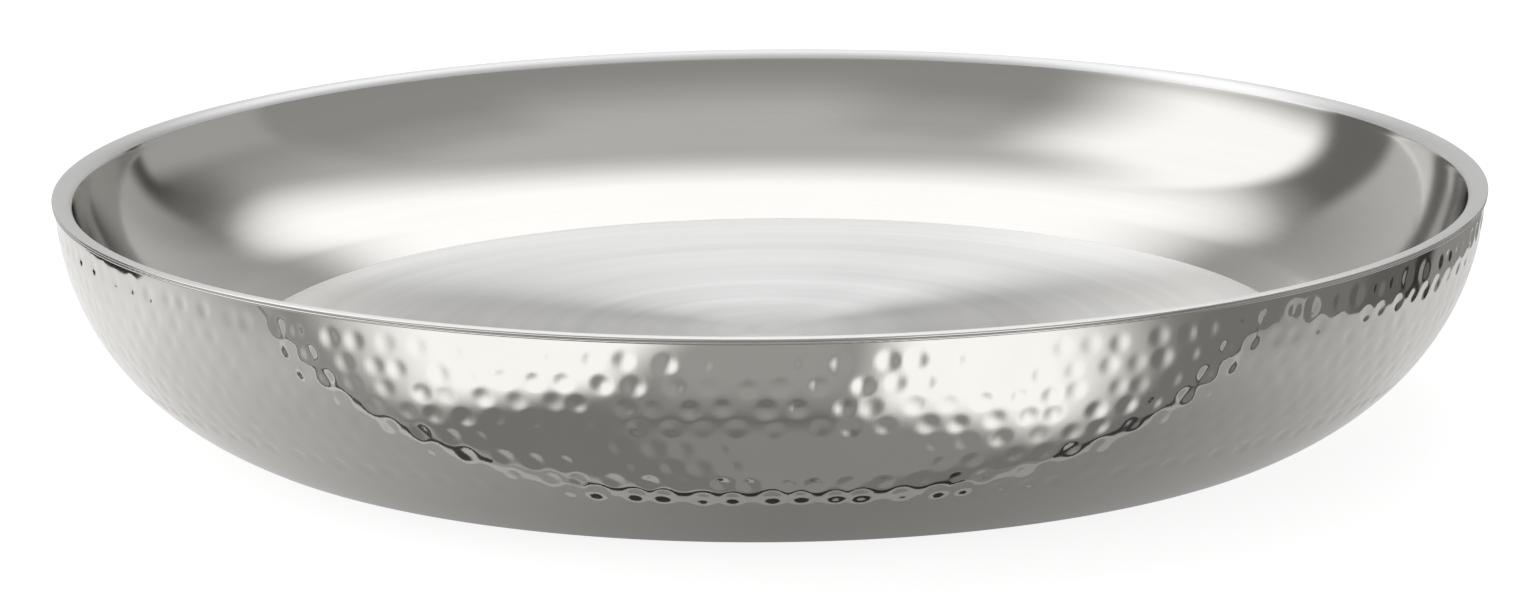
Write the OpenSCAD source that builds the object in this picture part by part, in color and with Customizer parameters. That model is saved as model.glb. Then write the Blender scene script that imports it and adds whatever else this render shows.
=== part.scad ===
// Double-walled round serving tray: a satin liner and a hammered outer shell, both pressed
// from sheet steel, nested and welded together under the rim. Millimetres, +Z up, and the
// origin is the centre of the standing ring, on the table.

/* [Rim] */
// Diameter of the tray over the rim flange
rim_d = 380; // [300:1:560]
// Width of the flat flange seen from above
rim_w = 5; // [4:0.5:12]
// Radius of the rolled edge between the flange and the inner wall
rim_bend_r = 1.5; // [1.2:0.1:2.5]
// How far the flange stands out past the outer shell
rim_overhang = 0.8; // [0.5:0.1:1.5]
// How far the weld bead stays back from the flange's edge
weld_setback = 0.1; // [0:0.05:0.3]

/* [Inner bowl] */
// Depth of the basin, from the rim's top down to its floor
basin_depth = 44.5; // [25:0.5:50]
// Lean of the inner wall at the rim, from the vertical
wall_flare = 10; // [4:1:20]
// Slope at which the inner wall meets the floor
floor_crease = 10; // [4:1:16]
// Sheet thickness of the inner bowl
bowl_t = 0.8; // [0.6:0.1:1]

/* [Outer shell] */
// Height of the tray, from the table to the rim's top
tray_h = 58; // [52:1:90]
// How far the standing ring's edge lies inside the outer wall's top
base_inset = 36.2; // [20:0.2:44]
// Outer radius of the corner between wall and base
base_corner_r = 4; // [2:0.5:8]
// Sheet thickness of the outer shell
shell_t = 0.8; // [0.6:0.1:1]

/* [Base] */
// Width of the flat ring that the tray stands on
standing_w = 14; // [8:1:24]
// How far the centre panel is raised above the table
panel_lift = 2.2; // [1.6:0.1:4]
// Slope of the step between standing ring and centre panel
step_slope = 40; // [30:1:60]

/* [Vent] */
// Diameter of the vent hole in the centre panel
vent_d = 6; // [4:0.5:10]
// How far the plug's head covers the panel around the hole
plug_cover = 3; // [2:0.5:6]
// Thickness of the plug's head
plug_head_t = 1.2; // [0.8:0.1:1.5]
// How far the plug's retaining lip stands out past the hole
plug_lip = 0.6; // [0.3:0.1:1]
// Height of the plug's lip inside the air gap
plug_lip_h = 2.4; // [1.5:0.1:3]
// Clearance of the plug's neck in the hole, on the radius
plug_fit = 0.05; // [0.02:0.01:0.2]

/* [Hidden] */
$fn = 96;

// Rim flange and the bend at its inner edge
rim_r = rim_d / 2;
flange_z = tray_h - bowl_t;
bend_x = rim_r - rim_w + rim_bend_r;
bend_z = tray_h - rim_bend_r;

// Inner wall: one arc that leaves the bend and ends on the floor, both at the stated slopes
floor_z = tray_h - basin_depth;
wall_top_x = bend_x - rim_bend_r * cos(wall_flare);
wall_top_z = bend_z + rim_bend_r * sin(wall_flare);
wall_r = (wall_top_z - floor_z) / (cos(floor_crease) - sin(wall_flare));
wall_x = wall_top_x - wall_r * cos(wall_flare);
wall_z = wall_top_z + wall_r * sin(wall_flare);
floor_r = wall_x + wall_r * sin(floor_crease);

// Outer wall: one arc, upright under the flange, and a corner arc tangent to it and the base
shell_r = rim_r - rim_overhang;
corner_x = shell_r - base_inset;
corner_rise = flange_z - base_corner_r;
bulge_r = (pow(base_inset, 2) + pow(corner_rise, 2) - pow(base_corner_r, 2))
    / (2 * (base_inset - base_corner_r));
bulge_x = shell_r - bulge_r;
corner_angle = atan2(corner_rise, corner_x - bulge_x);

// Base step: a short cone between the standing ring and the raised centre panel
standing_r = corner_x - standing_w;
panel_r = standing_r - panel_lift / tan(step_slope);

// A kite around a centre, between two angles, that reaches past every arc of the section
module wedge(x, z, from, to) {
    reach = rim_d;
    mid = (from + to) / 2;
    tip = reach / cos((to - from) / 2);
    translate([x, z])
        polygon([
            [0, 0],
            reach * [cos(from), sin(from)],
            tip * [cos(mid), sin(mid)],
            reach * [cos(to), sin(to)]
        ]);
}

// A round slice of the section: a disc between two angles
module slice(x, z, r, from, to) {
    intersection() {
        translate([x, z])
            circle(r = r);
        wedge(x, z, from, to);
    }
}

// The space over the liner, in section, down to a depth inside its sheet
module over_liner(depth) {
    translate([0, floor_z - depth])
        square([floor_r + depth * sin(floor_crease), rim_d]);
    slice(wall_x, wall_z, wall_r + depth, floor_crease - 90, 0);
    difference() {
        wedge(bend_x, bend_z, 90, 180 - wall_flare);
        translate([bend_x, bend_z])
            circle(r = rim_bend_r - depth);
    }
    translate([0, tray_h - depth])
        square(rim_d);
}

// The satin liner: floor, curved wall and rim flange in one sheet
module inner_bowl() {
    color("gainsboro")
        rotate_extrude()
            intersection() {
                square([rim_r, tray_h]);
                difference() {
                    over_liner(bowl_t);
                    over_liner(0);
                }
            }
}

// The space inside the outer shell, in section, from a depth inside its sheet
module in_shell(depth) {
    recess_shift = depth * tan(step_slope / 2);
    difference() {
        union() {
            slice(bulge_x, flange_z, bulge_r - depth, -corner_angle, corner_angle);
            translate([corner_x, base_corner_r])
                circle(r = base_corner_r - depth);
            translate([0, depth])
                square([corner_x, tray_h]);
        }
        polygon([
            [0, 0],
            [standing_r + recess_shift, 0],
            [standing_r + recess_shift, depth],
            [panel_r + recess_shift, panel_lift + depth],
            [0, panel_lift + depth]
        ]);
    }
}

// The hammered outer shell: bulging wall, base corner, standing ring and raised panel
module outer_shell() {
    color("silver")
        difference() {
            rotate_extrude()
                intersection() {
                    square([rim_r, flange_z]);
                    difference() {
                        in_shell(0);
                        in_shell(shell_t);
                    }
                }
            cylinder(d = vent_d, h = panel_lift + 2 * shell_t);
        }
}

// The seam bead that joins the two shells: a fillet in the corner under the flange
module rim_weld() {
    weld_leg = rim_overhang - weld_setback;
    color("darkgray")
        rotate_extrude()
            translate([shell_r, flange_z])
                polygon([[0, 0], [0, -weld_leg], [weld_leg, 0]]);
}

// The soft stopper in the vent hole: a head under the panel, a neck and a retaining lip
module vent_plug() {
    lip_z = panel_lift + shell_t;
    lip_r = vent_d / 2 + plug_lip;
    neck_r = vent_d / 2 - plug_fit;
    color("dimgray")
        union() {
            translate([0, 0, panel_lift - plug_head_t])
                cylinder(d = vent_d + 2 * plug_cover, h = plug_head_t);
            translate([0, 0, panel_lift])
                cylinder(r = neck_r, h = shell_t);
            translate([0, 0, lip_z])
                cylinder(r1 = lip_r, r2 = neck_r, h = plug_lip_h);
        }
}

inner_bowl();
outer_shell();
rim_weld();
vent_plug();
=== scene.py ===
# Double-walled seafood tray, dressed for the camera in the order in which it is put together.
from math import atan2, cos, pi, radians, sin, tan

import bpy
from mathutils import Matrix, Vector


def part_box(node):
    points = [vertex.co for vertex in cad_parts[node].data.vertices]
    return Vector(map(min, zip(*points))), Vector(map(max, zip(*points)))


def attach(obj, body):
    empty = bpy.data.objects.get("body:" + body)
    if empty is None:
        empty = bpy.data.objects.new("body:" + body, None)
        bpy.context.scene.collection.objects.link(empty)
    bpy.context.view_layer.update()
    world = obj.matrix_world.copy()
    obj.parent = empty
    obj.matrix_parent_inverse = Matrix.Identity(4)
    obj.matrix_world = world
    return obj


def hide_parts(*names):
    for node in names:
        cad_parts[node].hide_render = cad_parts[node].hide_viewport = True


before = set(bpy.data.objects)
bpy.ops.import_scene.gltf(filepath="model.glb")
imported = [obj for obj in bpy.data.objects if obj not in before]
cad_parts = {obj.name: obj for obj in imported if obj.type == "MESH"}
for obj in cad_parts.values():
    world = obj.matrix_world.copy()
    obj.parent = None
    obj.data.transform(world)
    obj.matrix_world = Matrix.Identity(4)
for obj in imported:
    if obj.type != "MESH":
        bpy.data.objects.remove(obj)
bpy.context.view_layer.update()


# Inner bowl.
# The liner that holds the ice: one steel sheet, pressed to a flat floor, a curved wall and a flat
# rim flange, then brushed in circles on a turntable. It hangs on the outer shell by its flange.
bowl_low, bowl_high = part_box("inner_bowl")
RIM_RADIUS = bowl_high.x
RIM_TOP = bowl_high.z
FLOOR_UNDERSIDE = bowl_low.z
SHEET = 0.0008
RIM_WIDTH = 0.005
ROLLED_EDGE = 0.0015
SOFT_EDGE = 0.0034
CUT_EDGE = 0.00035
WALL_FLARE = radians(10)
WALL_FOOT = radians(21.2)
FLOOR_CREASE = radians(10)
CREASE_SHIFT = 0.0005
CREASE_BEND = 0.00016
BOWL_SIDES, FEWEST_SIDES = 384, 24
WALL_STEPS, UNDER_STEPS = 56, 20
EDGE_STEPS, UNDER_EDGE_STEPS, CUT_STEPS = 14, 8, 4
SATIN_LIGHT = (0.71, 0.70, 0.68, 1)
SATIN_DARK = (0.63, 0.615, 0.59, 1)
# FLOOR_LIGHT and FLOOR_DARK are far brighter than the wall's steel of the same sheet: painted light, so that
# the floor and flange read brighter.
FLOOR_LIGHT = (0.955, 0.96, 0.96, 1)
FLOOR_DARK = (0.855, 0.86, 0.86, 1)
FLAT_SLACK = 0.00002
AXIS_SLACK = 0.00001
FLANGE_SATIN, EDGE_SATIN = 0.00012, 0.0021
MIDDLE_SHARE = 0.3
# Streaks are counted per metre of section and per turn. A roughness is its least, and what a pattern adds.
FINE_STREAKS, BROAD_STREAKS, WIDE_STREAKS = (2600, 0.7), (260, 0.5), (120, 0.4)
STREAK_DETAIL, STREAK_BREAKS = 3.0, 0.6
CLOUD_SCALE, CLOUD_DETAIL = 18.0, 2.0
FINE_SHARE, BROAD_SHARE, CLOUD_SHARE = 0.5, 0.3, 0.2
SHEEN_WIDE, SHEEN_BROAD = 0.6, 0.4
SHEEN_FROM, SHEEN_TO = 0.36, 0.62
WALL_ROUGH, MIDDLE_ROUGH = (0.07, 0.04), (0.30, 0.06)
FLOOR_ROUGH, FLANGE_ROUGH = (0.28, 0.05), (0.42, 0.06)
FLOOR_PULL, FLANGE_PULL, PULL_TURN = 1.0, 0.75, 0.25
BRUSH_STRENGTH, BRUSH_HEIGHT = 0.1, 0.00002

floor_top = FLOOR_UNDERSIDE + SHEET
rolled_x = RIM_RADIUS - RIM_WIDTH + ROLLED_EDGE
rolled_z = RIM_TOP - ROLLED_EDGE
wall_top_x = rolled_x - ROLLED_EDGE * cos(WALL_FLARE)
wall_top_z = rolled_z + ROLLED_EDGE * sin(WALL_FLARE)
wall_radius = (wall_top_z - floor_top) / (cos(FLOOR_CREASE) - sin(WALL_FLARE))
wall_x = wall_top_x - wall_radius * cos(WALL_FLARE)
wall_z = wall_top_z + wall_radius * sin(WALL_FLARE)
floor_radius = wall_x + wall_radius * sin(FLOOR_CREASE)
crease_x = floor_radius + CREASE_SHIFT
foot_z = floor_top + CREASE_BEND * tan(WALL_FOOT)
basin_run, basin_drop = wall_top_x - crease_x, wall_top_z - floor_top
upper_run, upper_drop = cos(WALL_FLARE) - sin(WALL_FOOT), cos(WALL_FOOT) - sin(WALL_FLARE)
upper_radius = (basin_drop - basin_run * tan(WALL_FOOT)) / (upper_drop - upper_run * tan(WALL_FOOT))
upper_x = wall_top_x - upper_radius * cos(WALL_FLARE)
upper_z = wall_top_z + upper_radius * sin(WALL_FLARE)
soft_z = RIM_TOP - SOFT_EDGE
cut_x = RIM_RADIUS - CUT_EDGE


def soft_edge(x, z, radius):
    """Where the edge of the flange has its centre, and the angle where it runs into a round wall."""
    rise = z - soft_z
    reach = ((radius + SOFT_EDGE) ** 2 - rise ** 2) ** 0.5
    return x + reach, atan2(rise, reach)


soft_x, soft_turn = soft_edge(upper_x, upper_z, upper_radius)
under_x, under_turn = soft_edge(wall_x, wall_z, wall_radius)


def arc(x, z, radius, start, end, steps):
    """Points of a round stretch of a section, from one angle to another."""
    turns = [start + (end - start) * step / steps for step in range(steps + 1)]
    return [(x + radius * cos(turn), z + radius * sin(turn)) for turn in turns]


def rings(points, sides):
    """Rings of a turned piece: a radius, a height and a number of sides each."""
    return [(radius, height, sides) for radius, height in points]


def disc(radius, height, sides, inward):
    """Rings of a flat round face between its edge and its centre, with fewer sides further in."""
    found = []
    while sides % 2 == 0 and sides > FEWEST_SIDES:
        found.append((radius, height, sides))
        sides //= 2
        radius /= 2
    found += [(radius, height, sides), (0, height, 1)]
    return found if inward else found[::-1]


def band(low, high):
    """Faces between two rings of points, where one ring may be a pole or have half the sides."""
    a, b = len(low), len(high)
    if a == 1:
        return [(low[0], high[i - 1], high[i])[::-1] for i in range(b)]
    if b == 1:
        return [(low[i - 1], low[i], high[0]) for i in range(a)]
    if a == b:
        return [(low[i - 1], low[i], high[i], high[i - 1]) for i in range(a)]
    faces = []
    for i in range(min(a, b)):
        j = (i + 1) % min(a, b)
        f, g, h = 2 * i, 2 * i + 1, (2 * i + 2) % max(a, b)
        if a > b:
            faces += [(low[f], low[g], high[i]), (low[g], low[h], high[j]), (low[g], high[j], high[i])]
        else:
            faces += [(low[i], low[j], high[g]), (low[i], high[g], high[f]), (low[j], high[h], high[g])]
    return faces


def turned(name, section):
    """A closed smooth mesh turned about +Z. The section runs anticlockwise, with +Z up."""
    points, loops = [], []
    for radius, height, sides in section:
        loops.append(range(len(points), len(points) + sides))
        turns = [2 * pi * side / sides for side in range(sides)]
        points += [(radius * cos(turn), radius * sin(turn), height) for turn in turns]
    closes = len(loops[0]) > 1
    pairs = zip(loops, loops[1:] + loops[:1] if closes else loops[1:])
    faces = [face for low, high in pairs for face in band(low, high)]
    mesh = bpy.data.meshes.new(name)
    mesh.from_pydata(points, [], faces)
    mesh.validate()
    mesh.shade_smooth()
    piece = bpy.data.objects.new(name, mesh)
    bpy.context.collection.objects.link(piece)
    return piece


class Wire:
    """An output socket of a node. Arithmetic and comparison on wires add Math nodes to their tree."""

    def __init__(self, socket):
        self.socket = socket

    @property
    def tree(self):
        return self.socket.id_data

    def math(self, operation, *others):
        """A Math node whose first value is this wire."""
        return math_node(self.tree, operation, self, *others)

    def __add__(self, other):
        return self.math("ADD", other)

    def __sub__(self, other):
        return self.math("SUBTRACT", other)

    def __rsub__(self, other):
        return math_node(self.tree, "SUBTRACT", other, self)

    def __mul__(self, other):
        return self.math("MULTIPLY", other)

    def __truediv__(self, other):
        return self.math("DIVIDE", other)

    def __pow__(self, other):
        return self.math("POWER", other)

    def __abs__(self):
        return self.math("ABSOLUTE")

    def __lt__(self, other):
        return self.math("LESS_THAN", other)

    def __gt__(self, other):
        return self.math("GREATER_THAN", other)

    __radd__ = __add__
    __rmul__ = __mul__


def find_socket(sockets, key):
    """A socket by its number, or the shown one by its name."""
    if isinstance(key, int):
        return sockets[key]
    return next(s for s in sockets if s.enabled and s.name == key)


def add_node(tree, kind, settings=None, inputs=None, output=0):
    """Adds a node, sets it up, joins or fills its sockets, and gives one of its outputs."""
    node = tree.nodes.new(kind)
    for key, value in (settings or {}).items():
        setattr(node, key, value)
    for key, value in (inputs or {}).items():
        socket = find_socket(node.inputs, key)
        if isinstance(value, Wire):
            tree.links.new(value.socket, socket)
        else:
            socket.default_value = value
    return Wire(find_socket(node.outputs, output)) if node.outputs else None


def math_node(tree, operation, *values):
    """A Math node on wires and numbers."""
    return add_node(tree, "ShaderNodeMath", {"operation": operation}, dict(enumerate(values)))


def new_material(name):
    """An empty material, with its node tree and the place of a point on its piece."""
    material = bpy.data.materials.new(name)
    material.use_nodes = True
    tree = material.node_tree
    tree.nodes.clear()
    place = add_node(tree, "ShaderNodeTexCoord", output="Object")
    return material, tree, place


def axes(vector):
    """The three numbers of a vector."""
    split = add_node(vector.tree, "ShaderNodeSeparateXYZ", inputs={"Vector": vector}).socket.node
    return [Wire(socket) for socket in split.outputs]


def around_axis(place):
    """Where a point lies on a turned piece: its radius, its run along the section and its heading."""
    x, y, z = axes(place)
    radius = (x * x + y * y) ** 0.5
    off_axis = radius.math("MAXIMUM", AXIS_SLACK)
    return radius, radius + z, x / off_axis, y / off_axis


def streaks(run, east, north, per_metre, per_turn):
    """Noise drawn out round the axis, as a turntable's abrasive leaves it."""
    vector = add_node(run.tree, "ShaderNodeCombineXYZ", inputs={
        "X": run * per_metre, "Y": east * per_turn, "Z": north * per_turn})
    return add_node(run.tree, "ShaderNodeTexNoise", inputs={
        "Vector": vector, "Scale": 1.0, "Detail": STREAK_DETAIL, "Roughness": STREAK_BREAKS})


def clouds(place, scale, detail):
    """Noise that is the same in every direction."""
    return add_node(place.tree, "ShaderNodeTexNoise", inputs={
        "Vector": place, "Scale": scale, "Detail": detail})


def ramp(value, start, end, low=0.0, high=1.0, kind="SMOOTHSTEP"):
    """A value that goes from low to high while another one goes from start to end."""
    return add_node(value.tree, "ShaderNodeMapRange", {"interpolation_type": kind}, {
        "Value": value, "From Min": start, "From Max": end, "To Min": low, "To Max": high})


def blend(share, dark, light):
    """A colour between two others, by a pattern."""
    return add_node(share.tree, "ShaderNodeMix", {"data_type": "RGBA"}, {
        "Factor": share, "A": dark, "B": light}, "Result")


def varied(pattern, least, more):
    """A least value, and what a pattern adds to it."""
    return least + more * pattern


def relief(height, strength, distance):
    """The normal of a surface with a fine relief."""
    return add_node(height.tree, "ShaderNodeBump", inputs={
        "Height": height, "Strength": strength, "Distance": distance})


def bare_steel(colour, roughness, others=None):
    """One finish of bare steel."""
    return add_node(colour.tree, "ShaderNodeBsdfPrincipled", inputs={
        "Base Color": colour, "Metallic": 1.0, "Roughness": roughness, **(others or {})})


def parted(mask, outside, inside):
    """Two finishes on one piece, parted by a mask."""
    return add_node(mask.tree, "ShaderNodeMixShader", inputs={0: mask, 1: outside, 2: inside})


def satin_steel():
    """Stainless steel: a wall polished to a soft gloss, a floor brushed in circles and a satin flange."""
    material, tree, place = new_material("satin_steel")
    radius, run, east, north = around_axis(place)
    z = axes(place)[2]
    fine, broad, wide = [
        streaks(run, east, north, *spacing) for spacing in (FINE_STREAKS, BROAD_STREAKS, WIDE_STREAKS)]
    tone = FINE_SHARE * fine + BROAD_SHARE * broad + CLOUD_SHARE * clouds(place, CLOUD_SCALE, CLOUD_DETAIL)
    sheen = ramp(SHEEN_WIDE * wide + SHEEN_BROAD * broad, SHEEN_FROM, SHEEN_TO, kind="LINEAR")
    colour = blend(tone, SATIN_DARK, SATIN_LIGHT)
    # The floor and flange take the brighter floor colour: painted light on the same steel as the wall.
    brightened_floor_colour = blend(sheen, FLOOR_DARK, FLOOR_LIGHT)
    flat = z < floor_top + FLAT_SLACK
    bump = relief(fine * flat, BRUSH_STRENGTH, BRUSH_HEIGHT)
    polished = bare_steel(colour, varied(tone, *WALL_ROUGH))
    middle = bare_steel(brightened_floor_colour, varied(tone, *MIDDLE_ROUGH), {"Normal": bump})
    brushed = bare_steel(brightened_floor_colour, varied(tone, *FLOOR_ROUGH), {
        "Anisotropic": FLOOR_PULL, "Anisotropic Rotation": PULL_TURN, "Normal": bump})
    flange = bare_steel(brightened_floor_colour, varied(tone, *FLANGE_ROUGH), {
        "Anisotropic": FLANGE_PULL, "Anisotropic Rotation": PULL_TURN})
    on_edge = (z > RIM_TOP - EDGE_SATIN) * (radius < soft_x)
    on_flange = on_edge.math("MAXIMUM", z > RIM_TOP - FLANGE_SATIN)
    base = parted(ramp(radius, 0.0, MIDDLE_SHARE * crease_x), middle, brushed)
    steel = parted(on_flange, parted(flat, polished, base), flange)
    add_node(tree, "ShaderNodeOutputMaterial", inputs={"Surface": steel})
    return material


def dress(piece, material, node):
    """Gives a finished piece its material, and its place in the frame."""
    piece.data.materials.clear()
    piece.data.materials.append(material)
    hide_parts(node)
    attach(piece, "root")


bowl_profile = (
    arc(wall_x, wall_z, wall_radius + SHEET, FLOOR_CREASE - pi / 2, -under_turn, UNDER_STEPS)
    + arc(under_x, soft_z, SOFT_EDGE - SHEET, pi - under_turn, pi / 2, UNDER_EDGE_STEPS)[1:]
    + arc(cut_x, RIM_TOP - SHEET + CUT_EDGE, CUT_EDGE, -pi / 2, 0, CUT_STEPS)
    + arc(cut_x, RIM_TOP - CUT_EDGE, CUT_EDGE, 0, pi / 2, CUT_STEPS)
    + arc(soft_x, soft_z, SOFT_EDGE, pi / 2, pi - soft_turn, EDGE_STEPS)
    + arc(upper_x, upper_z, upper_radius, -soft_turn, WALL_FOOT - pi / 2, WALL_STEPS)[1:]
    + [(crease_x + CREASE_BEND, foot_z), (crease_x, floor_top)]
)
bowl_section = (
    disc(floor_radius, FLOOR_UNDERSIDE, BOWL_SIDES, inward=False)
    + rings(bowl_profile, BOWL_SIDES)
    + disc(crease_x - CREASE_BEND, floor_top, BOWL_SIDES, inward=True)
)
satin_bowl = turned("satin_bowl", bowl_section)
dress(satin_bowl, satin_steel(), "inner_bowl")


# Outer shell.
# The polished jacket around the liner: one steel sheet, pressed to a bulging wall, a tight base
# corner, a flat standing ring and a raised centre panel, and hammered in rows from the outside.
shell_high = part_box("outer_shell")[1]
SHELL_RADIUS = shell_high.x
SHELL_TOP = shell_high.z
BASE_INSET = 0.0362
BASE_CORNER = 0.004
STANDING_WIDTH = 0.014
PANEL_LIFT = 0.0022
STEP_SLOPE = radians(40)
STEP_BEND = 0.0016
VENT_RADIUS = 0.003
VENT_SIDES, SHELL_SIDES, HAMMERED_SIDES = 40, 320, 1280
BEND_STEPS, CORNER_STEPS, PLAIN_STEPS, HAMMERED_STEPS, LINING_STEPS = 5, 9, 12, 60, 16
SIDES_STEP = 0.0007
HAMMERED_FROM, HAMMERED_TO = 0.002, 0.050
MARK_ROWS = 8
MARKS_PER_ROW = 144
FIRST_ROW = 0.0052
ROW_PITCH = 0.0055
MARK_RADIUS = 0.0029
MARK_DEPTH = 0.00021
MARK_SCATTER = 0.2
MARK_SEED = 7
ROW_SHIFT, ROW_SCATTER, HALF_ROW = 0.4, 0.4, 0.5
MARK_WIDTHS, MARK_FORCES = (0.86, 1.06), (0.5, 1.15)
FIRST_ROW_EXTRA, LAST_ROW_EXTRA = 0.7, 1.3
HOLLOW_POWER = 1.5
AROUND_DRAW, DOWN_DRAW, WIDTH_DRAW, FORCE_DRAW = range(4)
MIRROR_LIGHT = (0.76, 0.745, 0.71, 1)
MIRROR_DARK = (0.71, 0.695, 0.66, 1)
HAZE_SCALE, HAZE_DETAIL = 60.0, 4.0
ROLLED_STREAKS = (1500, 2.0)
MIRROR_ROUGH, ROLLED_ROUGH = (0.05, 0.03), (0.18, 0.12)

corner_x = SHELL_RADIUS - BASE_INSET
corner_rise = SHELL_TOP - BASE_CORNER
bulge_radius = (BASE_INSET ** 2 + corner_rise ** 2 - BASE_CORNER ** 2) / (2 * (BASE_INSET - BASE_CORNER))
bulge_x = SHELL_RADIUS - bulge_radius
corner_angle = atan2(corner_rise, corner_x - bulge_x)
corner_run = bulge_radius * corner_angle
standing_x = corner_x - STANDING_WIDTH
panel_x = standing_x - PANEL_LIFT / tan(STEP_SLOPE)
panel_top = PANEL_LIFT + SHEET
bend_tangent = STEP_BEND * tan(STEP_SLOPE / 2)
panel_edge, standing_edge = panel_x - bend_tangent, standing_x + bend_tangent
inner_shift = SHEET * tan(STEP_SLOPE / 2)


def wall_rings(sides, start, end=None, steps=1):
    """Rings of the bulging wall, at one run down from its top edge or from one run to another."""
    if end is None:
        return wall_rings(sides, start, 0)[:1]
    turns = -start / bulge_radius, -end / bulge_radius
    return rings(arc(bulge_x, SHELL_TOP, bulge_radius, *turns, steps), sides)


base_profile = (
    arc(panel_edge, PANEL_LIFT - STEP_BEND, STEP_BEND, pi / 2, pi / 2 - STEP_SLOPE, BEND_STEPS)[1:]
    + arc(standing_edge, STEP_BEND, STEP_BEND, -pi / 2 - STEP_SLOPE, -pi / 2, BEND_STEPS)
    + arc(corner_x, BASE_CORNER, BASE_CORNER, -pi / 2, -corner_angle, CORNER_STEPS)
)
lining_profile = (
    arc(bulge_x, SHELL_TOP, bulge_radius - SHEET, 0, -corner_angle, LINING_STEPS)
    + arc(corner_x, BASE_CORNER, BASE_CORNER - SHEET, -corner_angle, -pi / 2, BEND_STEPS)[1:]
    + [(standing_x + inner_shift, SHEET), (panel_x + inner_shift, panel_top)]
)
shell_section = (
    rings([(VENT_RADIUS, PANEL_LIFT)], VENT_SIDES)
    + disc(panel_edge, PANEL_LIFT, SHELL_SIDES, inward=False)[2:]
    + rings(base_profile, SHELL_SIDES)
    + wall_rings(SHELL_SIDES, corner_run - SIDES_STEP, HAMMERED_TO + 2 * SIDES_STEP, PLAIN_STEPS)
    + wall_rings(2 * SHELL_SIDES, HAMMERED_TO + SIDES_STEP)
    + wall_rings(HAMMERED_SIDES, HAMMERED_TO, HAMMERED_FROM, HAMMERED_STEPS)
    + wall_rings(2 * SHELL_SIDES, HAMMERED_FROM - SIDES_STEP)
    + wall_rings(SHELL_SIDES, HAMMERED_FROM - 2 * SIDES_STEP, 0)
    + rings(lining_profile, SHELL_SIDES)
    + disc(panel_x / 2, panel_top, SHELL_SIDES // 2, inward=True)[:-2]
    + rings([(VENT_RADIUS, panel_top)], VENT_SIDES)
)


def hammer_marks(inputs):
    """Rows of shallow round dents, pressed straight in wherever the wall is one arc in section."""
    tree = bpy.data.node_groups.new("hammer_marks", "GeometryNodeTree")
    tree.interface.new_socket("Geometry", in_out="OUTPUT", socket_type="NodeSocketGeometry")
    tree.interface.new_socket("Geometry", in_out="INPUT", socket_type="NodeSocketGeometry")
    for name, value in inputs.items():
        kind = {int: "NodeSocketInt", float: "NodeSocketFloat"}.get(type(value), "NodeSocketMaterial")
        tree.interface.new_socket(name, in_out="INPUT", socket_type=kind)
    entry = add_node(tree, "NodeGroupInput").socket.node
    wall, rows, around, first, pitch, radius, depth, scatter, bend, bend_x, top, sheet, seed, material = [
        Wire(socket) for socket in entry.outputs[:-1]]

    def chance(low, high, draw):
        return add_node(tree, "FunctionNodeRandomValue", {"data_type": "FLOAT"}, {
            "Min": low, "Max": high, "ID": index, "Seed": seed + draw}, "Value")

    def vector_math(operation, *vectors, output="Vector"):
        settings = {"operation": operation}
        return add_node(tree, "ShaderNodeVectorMath", settings, dict(enumerate(vectors)), output)

    def on_mark(kind, value):
        return add_node(tree, "GeometryNodeSampleIndex", {"data_type": kind}, {
            "Geometry": marks, "Value": value, "Index": nearest}, "Value")

    index = add_node(tree, "GeometryNodeInputIndex")
    here = add_node(tree, "GeometryNodeInputPosition")
    row = (index / around).math("FLOOR")
    column = index - row * around + ROW_SHIFT * row + scatter * chance(-1.0, 1.0, AROUND_DRAW)
    heading = column * (2 * pi) / around
    drop = (first + pitch * (row + ROW_SCATTER * scatter * chance(-1.0, 1.0, DOWN_DRAW))) / bend
    reach = bend_x + bend * drop.math("COSINE")
    aside = heading.math("COSINE")
    place = add_node(tree, "ShaderNodeCombineXYZ", inputs={
        "X": reach * aside, "Y": reach * heading.math("SINE"), "Z": top - bend * drop.math("SINE")})
    marks = add_node(tree, "GeometryNodePoints", inputs={"Count": rows * around, "Position": place})
    nearest = add_node(tree, "GeometryNodeSampleNearest", inputs={"Geometry": marks})
    away = vector_math("DISTANCE", here, on_mark("FLOAT_VECTOR", here), output="Value")
    share = away / (radius * on_mark("FLOAT", chance(*MARK_WIDTHS, WIDTH_DRAW)))
    hollow = (1 - share * share).math("MAXIMUM", 0.0)
    first_row = row < HALF_ROW
    last_row = row > rows - 1 - HALF_ROW
    struck = 1 + FIRST_ROW_EXTRA * first_row * aside * aside + LAST_ROW_EXTRA * last_row
    dent = depth * on_mark("FLOAT", chance(*MARK_FORCES, FORCE_DRAW) * struck) * hollow ** HOLLOW_POWER
    x, y = axes(here)[:2]
    inward_share = bend_x / (x * x + y * y) ** 0.5
    bend_centre = add_node(tree, "ShaderNodeCombineXYZ", inputs={
        "X": x * inward_share, "Y": y * inward_share, "Z": top})
    inward = vector_math("SUBTRACT", bend_centre, here)
    from_centre = vector_math("LENGTH", inward, output="Value")
    push = add_node(tree, "ShaderNodeVectorMath", {"operation": "SCALE"}, {
        "Vector": vector_math("NORMALIZE", inward), "Scale": dent})
    dented = add_node(tree, "GeometryNodeSetPosition", inputs={
        "Geometry": wall, "Offset": push, "Selection": from_centre > bend - sheet / 2})
    real = add_node(tree, "GeometryNodeRealizeInstances", inputs={"Geometry": dented})
    coated = add_node(tree, "GeometryNodeSetMaterial", inputs={"Geometry": real, "Material": material})
    add_node(tree, "NodeGroupOutput", inputs={"Geometry": coated})
    return tree


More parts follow.
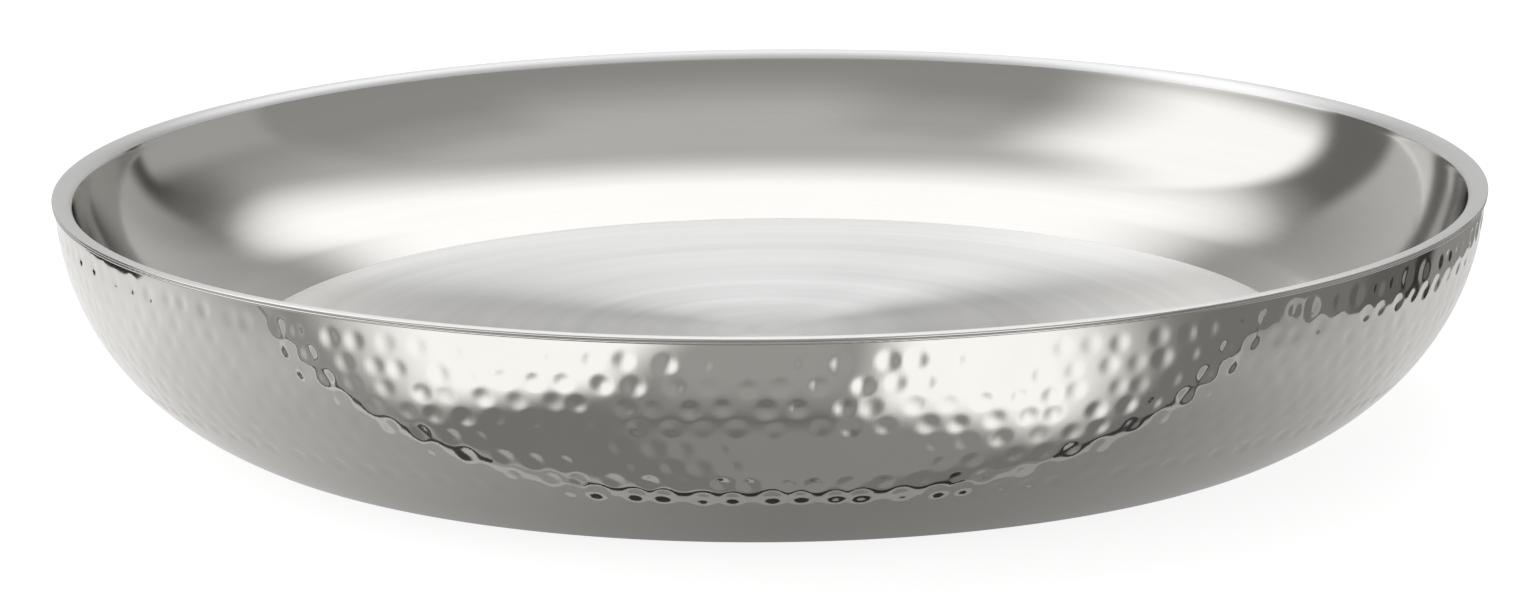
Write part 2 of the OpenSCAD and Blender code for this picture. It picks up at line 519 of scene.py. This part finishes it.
def applied(piece, tree, inputs):
    """Runs a node tree on a piece once, and keeps the result as its plain mesh."""
    modifier = piece.modifiers.new(tree.name, "NODES")
    modifier.node_group = tree
    sockets = {item.name: item.identifier for item in tree.interface.items_tree if item.in_out == "INPUT"}
    for name, value in inputs.items():
        modifier[sockets[name]] = value
    ready = piece.evaluated_get(bpy.context.evaluated_depsgraph_get())
    mesh = bpy.data.meshes.new_from_object(ready)
    piece.modifiers.clear()
    piece.data = mesh
    return piece


def hammered_steel():
    """Mirror-polished steel with a faint haze, left as the sheet was rolled under the base."""
    material, tree, place = new_material("hammered_steel")
    radius, run, east, north = around_axis(place)
    haze = clouds(place, HAZE_SCALE, HAZE_DETAIL)
    grain = streaks(run, east, north, *ROLLED_STREAKS)
    under = ramp(radius, standing_x, corner_x, 1.0, 0.0)
    roughness = varied(haze, *MIRROR_ROUGH) + under * varied(grain, *ROLLED_ROUGH)
    steel = bare_steel(blend(haze, MIRROR_DARK, MIRROR_LIGHT), roughness)
    add_node(tree, "ShaderNodeOutputMaterial", inputs={"Surface": steel})
    return material


mirror = hammered_steel()
mark_inputs = {
    "Rows": MARK_ROWS, "Marks per row": MARKS_PER_ROW, "First row": FIRST_ROW, "Row pitch": ROW_PITCH,
    "Mark radius": MARK_RADIUS, "Mark depth": MARK_DEPTH, "Scatter": MARK_SCATTER,
    "Wall radius": bulge_radius, "Wall centre": bulge_x, "Wall top": SHELL_TOP, "Sheet": SHEET,
    "Seed": MARK_SEED, "Material": mirror}
hammered_shell = applied(turned("hammered_shell", shell_section), hammer_marks(mark_inputs), mark_inputs)
dress(hammered_shell, mirror, "outer_shell")


# Rim weld.
# The seam that joins the two shells and seals the air between them: a thin bead of melted steel,
# run once around in the corner under the flange, and brushed off. It shows as a dark line.
weld_low, weld_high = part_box("rim_weld")
WELD_RADIUS = weld_high.x
WELD_FOOT = weld_low.z
WELD_SIDES, BEAD_STEPS = 512, 6
WELD_LIGHT = (0.74, 0.725, 0.69, 1)
WELD_DARK = (0.60, 0.58, 0.55, 1)
WELD_RIPPLES = 420
RIPPLE_STRENGTH, RIPPLE_HEIGHT = 0.15, 0.00005
TINT_SCALE, TINT_DETAIL = 90.0, 3.0
WELD_ROUGH = (0.1, 0.1)

bead_round = (WELD_RADIUS - SHELL_RADIUS) / 2


def weld_steel():
    """Melted steel with a ripple for each pulse of the torch, and heat tint between them."""
    material, tree, place = new_material("weld_steel")
    x, y = axes(place)[:2]
    pulse = (y.math("ARCTAN2", x) * WELD_RIPPLES).math("SINE")
    tint = clouds(place, TINT_SCALE, TINT_DETAIL)
    bump = relief(pulse, RIPPLE_STRENGTH, RIPPLE_HEIGHT)
    steel = bare_steel(blend(tint, WELD_DARK, WELD_LIGHT), varied(tint, *WELD_ROUGH), {"Normal": bump})
    add_node(tree, "ShaderNodeOutputMaterial", inputs={"Surface": steel})
    return material


weld_profile = (
    [(SHELL_RADIUS, SHELL_TOP), (SHELL_RADIUS, WELD_FOOT)]
    + arc(WELD_RADIUS - bead_round, WELD_FOOT + bead_round, bead_round, -pi / 2, 0, BEAD_STEPS)
    + [(WELD_RADIUS, SHELL_TOP)]
)
weld_bead = turned("weld_bead", rings(weld_profile, WELD_SIDES))
dress(weld_bead, weld_steel(), "rim_weld")


# Vent plug.
# The soft stopper in the base's vent hole: moulded silicone, with a flat rounded head under the
# panel, a neck in the hole, and a lip that is pushed through and holds it.
plug_low, plug_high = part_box("vent_plug")
PLUG_RADIUS = plug_high.x
PLUG_TOP = plug_high.z
PLUG_FOOT = plug_low.z
PLUG_NECK = 0.00295
PLUG_LIP = 0.0036
PLUG_ROUND = 0.0005
PLUG_SIDES, HEAD_STEPS, LIP_STEPS = 48, 5, 4
SILICONE_LIGHT = (0.16, 0.16, 0.165, 1)
SILICONE_DARK = (0.11, 0.11, 0.115, 1)
SKIN_SCALE, SKIN_DETAIL = 2500.0, 2.0
SKIN_STRENGTH, SKIN_HEIGHT = 0.2, 0.00005
DUST_SCALE, DUST_DETAIL = 300.0, 3.0
SILICONE_ROUGH = (0.55, 0.2)


def silicone():
    """Dark moulded silicone: matt, with a fine cast skin and a little dust on it."""
    material, tree, place = new_material("silicone")
    skin = clouds(place, SKIN_SCALE, SKIN_DETAIL)
    dust = clouds(place, DUST_SCALE, DUST_DETAIL)
    rubber = add_node(tree, "ShaderNodeBsdfPrincipled", inputs={
        "Base Color": blend(dust, SILICONE_DARK, SILICONE_LIGHT),
        "Roughness": varied(dust, *SILICONE_ROUGH),
        "Normal": relief(skin, SKIN_STRENGTH, SKIN_HEIGHT)})
    add_node(tree, "ShaderNodeOutputMaterial", inputs={"Surface": rubber})
    return material


plug_profile = (
    arc(PLUG_RADIUS - PLUG_ROUND, PLUG_FOOT + PLUG_ROUND, PLUG_ROUND, -pi / 2, 0, HEAD_STEPS)
    + [(PLUG_RADIUS, PANEL_LIFT), (PLUG_NECK, PANEL_LIFT), (PLUG_NECK, panel_top)]
    + arc(PLUG_LIP - PLUG_ROUND, panel_top + PLUG_ROUND, PLUG_ROUND, -pi / 2, 0, LIP_STEPS)
    + [(PLUG_NECK, PLUG_TOP)]
)
plug_section = [(0, PLUG_FOOT, 1)] + rings(plug_profile, PLUG_SIDES) + [(0, PLUG_TOP, 1)]
vent_stopper = turned("vent_stopper", plug_section)
dress(vent_stopper, silicone(), "vent_plug")


# Floor and table.
# The pale floor that the camera sees, white as in the photograph and with the tray's soft shadow,
# and the lit table top that only the polished steel sees, which ends just past the tray's foot.
FLOOR_SIZE, FLOOR_THICK = 12.0, 0.01
FLOOR_PAINT = (0.28, 0.28, 0.28, 1)
FLOOR_GLOW = 0.86
TABLE_LEFT, TABLE_RIGHT = -0.336, 0.241
TABLE_FRONT, TABLE_BACK = -0.165, 0.6
TABLE_NOSE, NOSE_WIDTH = 0.012, 0.13
TABLE_DROP, TABLE_THICK = 0.0002, 0.012
LEFT_WING, LEFT_WING_BACK = 0.042, -0.014
RIGHT_WING, RIGHT_WING_FRONT, RIGHT_WING_BACK = 0.07, -0.152, -0.131
RIGHT_SLANT, SLANT_BACK = 0.028, 0.06
TABLE_PAINT = (0.3, 0.3, 0.3, 1)
# A painted shadow line and a painted highlight line run along the table's front edge.
SHADOW_LINE_PAINT = (0.06, 0.06, 0.06, 1)
WHITE = (1, 1, 1, 1)
# The table glows with painted light: dim at the front, where the tray's shadow is painted, bright to the
# back, brighter to the left and dimmer far aside.
TRAY_SHADOW_GLOW, LIT_BACK_GLOW = 0.12, 0.53
GLOW_FROM, GLOW_TO = -0.175, -0.04
GLOW_ASIDE = 0.175
WEST_GAIN, WEST_FALL = 0.47, 0.75
EAST_FALL, EAST_FALL_WIDTH = 2.0, 0.055
SHADOW_LINE_TO, HIGHLIGHT_LINE_TO = 0.0021, 0.00462
SHADOW_LINE_GAP_FROM, SHADOW_LINE_GAP_TO = 0.049, 0.076
SHADOW_LINE_GLOW, HIGHLIGHT_LINE_GLOW = 0.06, 1.9


def slab(name, outline, low, high):
    """A flat block of the studio, which isn't part of the object. The outline runs anticlockwise."""
    count = len(outline)
    corners = [(x, y, z) for z in (low, high) for x, y in outline]
    sides = [(i - 1, i, count + i, count + i - 1) for i in range(1, count)]
    sides += [(count - 1, 0, count, 2 * count - 1), range(count)[::-1], range(count, 2 * count)]
    mesh = bpy.data.meshes.new(name)
    mesh.from_pydata(corners, [], sides)
    block = bpy.data.objects.new(name, mesh)
    bpy.context.collection.objects.link(block)
    return block


def glowing_paint(tree, colour, strength):
    """Matt paint that also glows, as a panel lit from below does."""
    paint = add_node(tree, "ShaderNodeBsdfDiffuse", inputs={"Color": colour})
    glow = add_node(tree, "ShaderNodeEmission", inputs={"Color": WHITE, "Strength": strength})
    surface = add_node(tree, "ShaderNodeAddShader", inputs={0: paint, 1: glow})
    add_node(tree, "ShaderNodeOutputMaterial", inputs={"Surface": surface})


def floor_paint():
    """White with a soft shadow: it glows by itself, and the lamps add the rest."""
    material, tree = new_material("floor_paint")[:2]
    glowing_paint(tree, FLOOR_PAINT, FLOOR_GLOW)
    return material


def table_painted_light():
    """A lit top that glows with painted light: it dims to the front, where the tray's shadow is painted, and
    far aside, with a painted shadow line and a painted highlight line along its front edge.
    """
    material, tree, place = new_material("table_painted_light")
    x, y = axes(place)[:2]
    aside = abs(x)
    nose = (1 - aside / NOSE_WIDTH).math("MAXIMUM", 0.0)
    inside = y - TABLE_FRONT + TABLE_NOSE * nose
    # Painted shadow line along the front edge, broken in two short gaps, and a painted highlight line just
    # inside it.
    in_shadow_line = inside < SHADOW_LINE_TO
    light = (inside < HIGHLIGHT_LINE_TO) - in_shadow_line
    gap = (aside > SHADOW_LINE_GAP_FROM) * (aside < SHADOW_LINE_GAP_TO)
    dark = in_shadow_line * (1 - gap)
    share = 1 + light * (HIGHLIGHT_LINE_GLOW - 1) - dark * (1 - SHADOW_LINE_GLOW)
    # Painted shadow of the tray: the glow falls towards the front edge.
    glow = ramp(y, GLOW_FROM, GLOW_TO, TRAY_SHADOW_GLOW, LIT_BACK_GLOW, "LINEAR")
    # Painted light from the left: brighter to the left, dimmer far to either side.
    west = (0 - x).math("MAXIMUM", 0.0)
    far_west = (west - GLOW_ASIDE).math("MAXIMUM", 0.0)
    far_east = (x - GLOW_ASIDE).math("MAXIMUM", 0.0).math("MINIMUM", EAST_FALL_WIDTH)
    painted_side_light = WEST_GAIN * (west - far_west) - WEST_FALL * far_west - EAST_FALL * far_east
    # The table's glow carries the painted light and shade worked out above.
    glowing_paint(tree, blend(dark, TABLE_PAINT, SHADOW_LINE_PAINT), (glow + painted_side_light) * share)
    return material


half = FLOOR_SIZE / 2
floor = slab("floor", [(-half, -half), (half, -half), (half, half), (-half, half)], -FLOOR_THICK, 0)
floor.data.materials.append(floor_paint())
floor.visible_glossy = False
floor.visible_shadow = False
floor.visible_diffuse = False
left_wing, right_wing = TABLE_LEFT - LEFT_WING, TABLE_RIGHT + RIGHT_WING
table_outline = [
    (left_wing, TABLE_FRONT), (-NOSE_WIDTH, TABLE_FRONT), (0, TABLE_FRONT - TABLE_NOSE),
    (NOSE_WIDTH, TABLE_FRONT), (TABLE_RIGHT, TABLE_FRONT), (TABLE_RIGHT, RIGHT_WING_FRONT),
    (right_wing, RIGHT_WING_FRONT), (right_wing, RIGHT_WING_BACK), (TABLE_RIGHT, RIGHT_WING_BACK),
    (TABLE_RIGHT + RIGHT_SLANT, SLANT_BACK), (TABLE_RIGHT, TABLE_BACK), (TABLE_LEFT, TABLE_BACK),
    (TABLE_LEFT, LEFT_WING_BACK), (left_wing, LEFT_WING_BACK)]
table = slab("table", table_outline, -TABLE_THICK, -TABLE_DROP)
table.data.materials.append(table_painted_light())
table.visible_camera = False


# Studio light.
# Two soft boxes, over the tray and on its left, light the floor. The steel mirrors a grey studio
# around them: a backdrop and a board behind, pale screens low in front and a gap between those.
SOFT_BOXES = {
    "overhead": {"place": (0.08, 0.64, 0.83), "aim": (0.08, 0.64, 0), "size": (0.98, 0.80), "light": 1.5},
    "left": {"place": (-0.96, 0.13, 0.56), "aim": (0, 0, 0.03), "size": (0.86, 0.8), "light": 1.28},
}
STUDIO_TINT = (1, 0.984, 0.945, 1)
STUDIO_LOW, STUDIO_LEVEL, STUDIO_HIGH = 0.295, 0.36, 0.62
# An edge is a limit and a softness in degrees. Low panels turn from the front, high ones from the back.
HORIZON, BRIGHTER_FROM = (-3, 4), (34, 20)
LOW_PANELS = {
    "left carpet": {"light": 0.22, "left": (-82, 6), "right": (-28, 10)},
    "left wall": {"light": 0.45, "left": (-116, 2), "right": (-82, 6)},
    "left shelf": {"light": 0.10, "left": (-116, 2), "right": (-80, 6), "foot": (-9, 1.5)},
    "left door": {"light": 0.03, "left": (-147, 4), "right": (-116, 2)},
    "right carpet": {"light": 0.21, "left": (66, 8), "right": (104, 6)},
    "right wall": {"light": 0.14, "left": (104, 6), "right": (129, 1.5)},
    "right door": {"light": 0.04, "left": (122, 1.2), "right": (127.5, 1.2)},
    "gap": {"light": 0.40, "left": (-18, 5), "right": (13, 4), "foot": (-38, 8)},
    "gap line": {"light": 0.19, "left": (-30, 8), "right": (13, 4), "foot": (-53, 4), "top": (-46, 4)},
    "left screen": {
        "light": 1.27, "left": (-68, 16), "right": (-9, 6.5), "lean": 0.5,
        "foot": (-29.6, 6), "climb": 0.22},
    "right screen": {
        "light": 1.27, "left": (17.5, 6), "right": (48.6, 13), "lean": -0.32,
        "foot": (-40.6, 8), "climb": -0.25},
}
HIGH_PANELS = {
    "back wall": {"light": 0.18, "left": (-66, 4), "right": (54, 10), "top": (31.5, 8), "climb": -0.045},
    "slit": {"light": 0.08, "left": (34, 2), "right": (46, 2), "top": (16, 7)},
    "side board": {"light": 0.47, "left": (43.5, 1.5), "right": (78, 2.5), "top": (-6, 5), "climb": 0.37},
    "left soft box": {
        "light": 1.43, "left": (-110.5, 18), "right": (-67.5, 4), "lean": 0.27,
        "foot": (9.5, 9), "top": (57, 10)},
}
CORNERS = {
    "left": {"left": (-160, 12), "right": (-112, 9), "foot": (24, 8), "top": (62, 8)},
    "right": {"left": (82, 7), "right": (128, 9), "foot": (24, 8), "top": (50, 8)},
}
CORNER_SHADE = 0.18
BACKDROP_LIGHT, BACKDROP_FALL = 0.61, 0.42
BACKDROP_SHADE, SHADE_FROM = 0.14, (27, 7)
BACKDROP_TURN, BACKDROP_HALF, BACKDROP_TOP = radians(-3.5), radians(42.5), radians(36)
BACKDROP_FORM = {"power": 4.0, "inner": 0.93, "outer": 1.05}
OVERHEAD_LIGHT = 1.48
OVERHEAD_EAST, OVERHEAD_NORTH = 0.10, 0.72
OVERHEAD_WIDE, OVERHEAD_DEEP = 0.87, 0.63
OVERHEAD_SKEW = 0.1
OVERHEAD_FORM = {"power": 1.7, "inner": 0.5, "outer": 1.5}
LEAST_UP = 0.02


def soft_box(name, place, aim, size, light):
    """An area lamp whose face has the given brightness, turned to face a point."""
    lamp = bpy.data.lights.new(name, "AREA")
    lamp.shape = "RECTANGLE"
    lamp.size, lamp.size_y = size
    lamp.energy = light * pi * size[0] * size[1]
    holder = bpy.data.objects.new(name, lamp)
    bpy.context.collection.objects.link(holder)
    holder.location = place
    holder.rotation_euler = (Vector(aim) - Vector(place)).to_track_quat("-Z", "Y").to_euler()
    holder.visible_camera = False
    holder.visible_glossy = False


for name, box in SOFT_BOXES.items():
    soft_box(name, **box)


def past(value, limit, soft):
    """A mask that goes from zero to one where an angle passes a limit in degrees."""
    return ramp(value, radians(limit - soft), radians(limit + soft))


def panel(turn, height, left, right, foot=None, top=None, lean=0, climb=0):
    """A mask with soft edges, where the right edge may lean, and foot and top may climb."""
    rise = height - climb * turn
    mask = past(turn, *left) * (1 - past(turn - lean * height, *right))
    if foot:
        mask = mask * past(rise, *foot)
    if top:
        mask = mask * (1 - past(rise, *top))
    return mask


def laid(behind, light, mask):
    """A panel of its own brightness in front of what is behind it."""
    return behind + (light - behind) * mask


def hung(behind, panels, turn, height):
    """Panels that hang one in front of the other."""
    for edges in panels.values():
        shape = {key: value for key, value in edges.items() if key != "light"}
        behind = laid(behind, edges["light"], panel(turn, height, **shape))
    return behind


def rounded(across, along, power, inner, outer):
    """A mask that is round or nearly square, from one in its middle to zero past its edge at about one."""
    reach = (abs(across) ** power + abs(along) ** power) ** (1 / power)
    return ramp(reach, inner, outer, 1.0, 0.0)


world = bpy.data.worlds.new("studio")
bpy.context.scene.world = world
world.use_nodes = True
world_tree = world.node_tree
world_tree.nodes.clear()
east, north, up = axes(add_node(world_tree, "ShaderNodeTexCoord", output="Generated"))
height = up.math("ARCSINE")
from_front = east.math("ARCTAN2", 0 - north)
from_back = east.math("ARCTAN2", north)
low = hung(0 * up + STUDIO_LOW, LOW_PANELS, from_front, height)
high = STUDIO_LEVEL + (STUDIO_HIGH - STUDIO_LEVEL) * past(height, *BRIGHTER_FROM)
for corner in CORNERS.values():
    high = high * (1 - CORNER_SHADE * panel(from_back, height, **corner))
high = hung(high, HIGH_PANELS, from_back, height)
rise = height / BACKDROP_TOP
backdrop = BACKDROP_LIGHT * (1 - BACKDROP_FALL * rise * rise) - BACKDROP_SHADE * past(from_back, *SHADE_FROM)
high = laid(high, backdrop, rounded((from_back - BACKDROP_TURN) / BACKDROP_HALF, rise, **BACKDROP_FORM))
above = up.math("MAXIMUM", LEAST_UP)
across = (east / above - OVERHEAD_EAST) / OVERHEAD_WIDE
along = ((north - OVERHEAD_SKEW * east) / above - OVERHEAD_NORTH) / OVERHEAD_DEEP
high = laid(high, OVERHEAD_LIGHT, rounded(across, along, **OVERHEAD_FORM))
studio = laid(low, high, past(height, *HORIZON))
seen = add_node(world_tree, "ShaderNodeLightPath", output="Is Camera Ray")
strength = seen + (1 - seen) * studio
sky = add_node(world_tree, "ShaderNodeBackground", inputs={
    "Color": blend(strength, STUDIO_TINT, WHITE), "Strength": strength})
add_node(world_tree, "ShaderNodeOutputWorld", inputs={"Surface": sky})


# Camera.
# A long lens a little over a metre in front, looking down on the tray at a low angle and turned
# half a degree, as in the photograph.
CAMERA_PLACE = (-0.0002, -1.0248, 0.2656)
CAMERA_TILT = radians(13.39)
CAMERA_ROLL = radians(-0.5)
CAMERA_LENS = 90.94
CAMERA_REACH = 50

camera = bpy.data.objects.new("camera", bpy.data.cameras.new("camera"))
bpy.context.collection.objects.link(camera)
camera.data.lens = CAMERA_LENS
camera.data.clip_end = CAMERA_REACH
camera.location = CAMERA_PLACE
look = Matrix.Rotation(pi / 2 - CAMERA_TILT, 4, "X") @ Matrix.Rotation(CAMERA_ROLL, 4, "Z")
camera.rotation_euler = look.to_euler()
bpy.context.scene.camera = camera
bpy.context.scene.view_settings.view_transform = "Standard"
